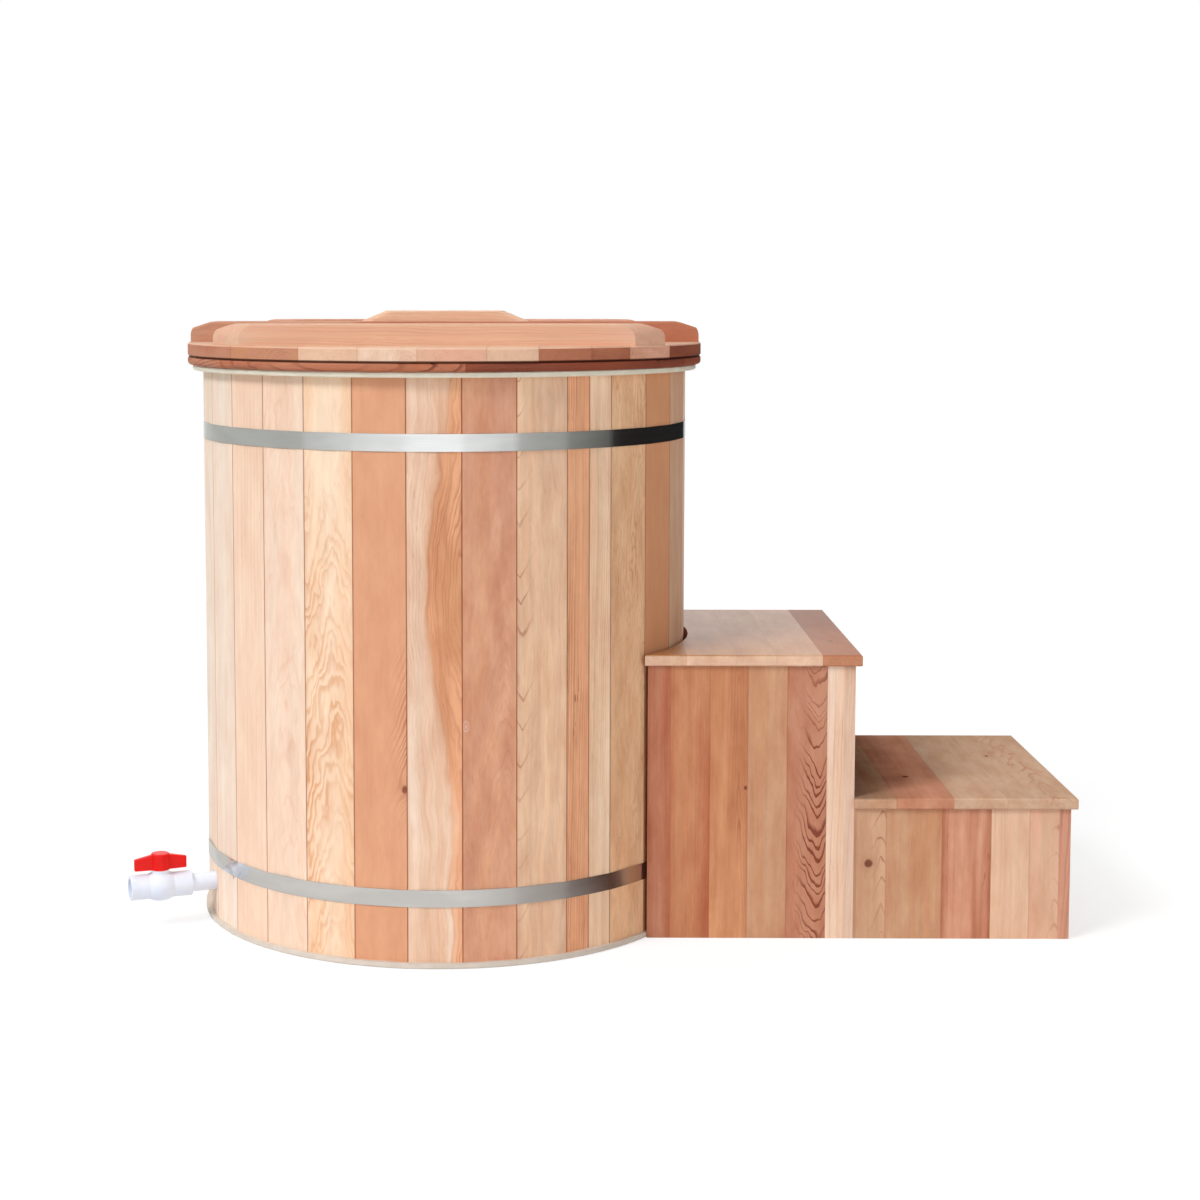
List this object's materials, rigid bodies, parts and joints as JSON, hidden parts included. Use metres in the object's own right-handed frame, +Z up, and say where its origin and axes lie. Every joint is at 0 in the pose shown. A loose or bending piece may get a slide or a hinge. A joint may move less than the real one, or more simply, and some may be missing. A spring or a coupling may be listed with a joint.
{
  "type": "cold plunge tub",
  "caption": "Round upright tub of cedar staves in steel hoops round a moulded liner, with a lift-off board lid, a quarter-turn drain valve and free-standing steps.",
  "frame": {"origin": "middle of the underside of the tub's base plate, on the tub's upright axis", "axes": "+Z up, +X from the tub to the steps, -Y the front that the picture shows"},
  "size_m": [1.7182, 0.96, 1.124],
  "materials": {
    "cedar_pale": "planed, unsealed",
    "cedar_tan": "planed, unsealed",
    "cedar_honey": "planed, unsealed",
    "cedar_salmon": "planed, unsealed",
    "cedar_red": "planed, unsealed",
    "liner_cream": "moulded satin",
    "hoop_steel": "bright rolled",
    "pvc_white": "moulded semi-gloss",
    "handle_red": "moulded semi-gloss",
    "seal_white": "smooth",
    "gasket_black": "moulded",
    "screw_steel": "plain"
  },
  "bodies": {
    "tub": {"base_plate": "liner_cream", "drain_fitting": "pvc_white", "drain_gasket": "gasket_black", "drain_locknut": "pvc_white", "drain_pipe": "pvc_white", "hoop_bolts": "hoop_steel", "hoop_lower": "hoop_steel", "hoop_upper": "hoop_steel", "liner": "liner_cream", "rim_ring": "cedar_red", "rim_screws": "screw_steel", "stave_01": "cedar_honey", "stave_02": "cedar_salmon", "stave_03": "cedar_tan", "stave_04": "cedar_honey", "stave_05": "cedar_tan", "stave_06": "cedar_salmon", "stave_07": "cedar_tan", "stave_08": "cedar_tan", "stave_09": "cedar_honey", "stave_10": "cedar_pale", "stave_11": "cedar_tan", "stave_12": "cedar_red", "stave_13": "cedar_honey", "stave_14": "cedar_salmon", "stave_15": "cedar_tan", "stave_16": "cedar_honey", "stave_17": "cedar_pale", "stave_18": "cedar_tan", "stave_19": "cedar_red", "stave_20": "cedar_honey", "stave_21": "cedar_salmon", "stave_22": "cedar_tan", "stave_23": "cedar_honey", "stave_24": "cedar_pale", "stave_25": "cedar_pale", "stave_26": "cedar_pale", "stave_27": "cedar_pale", "stave_28": "cedar_pale", "stave_29": "cedar_pale", "stave_30": "cedar_salmon", "valve_body": "pvc_white", "valve_seals": "seal_white"},
    "lid": {"lid_boards": "cedar_red", "lid_grip": "cedar_tan", "lid_screws": "screw_steel", "lid_batten_front": "cedar_tan", "lid_batten_middle": "cedar_salmon", "lid_batten_back": "cedar_honey"},
    "valve_turn": {"valve_ball": "pvc_white", "valve_stem": "pvc_white", "valve_handle": "handle_red"},
    "steps": {"upper_tread": "cedar_tan", "lower_tread": "cedar_tan", "upper_side_panels": "cedar_salmon", "lower_side_panels": "cedar_honey", "upper_riser": "cedar_pale", "lower_riser": "cedar_red", "step_frame": "cedar_tan", "step_screws": "screw_steel"}
  },
  "joints": [
    {"name": "lid_lift", "type": "slide", "parent": "tub", "child": "lid", "axis": [0, 0, 1], "range_m": [0, 0.6]},
    {"name": "valve_quarter_turn", "type": "hinge", "parent": "tub", "child": "valve_turn", "pos_m": [-0.51674, -0.19836, 0.074], "axis": [0, 0, 1], "range_deg": [-90, 0]},
    {"name": "steps_pull_away", "type": "slide", "parent": "tub", "child": "steps", "axis": [1, 0, 0], "range_m": [0, 0.5]}
  ]
}
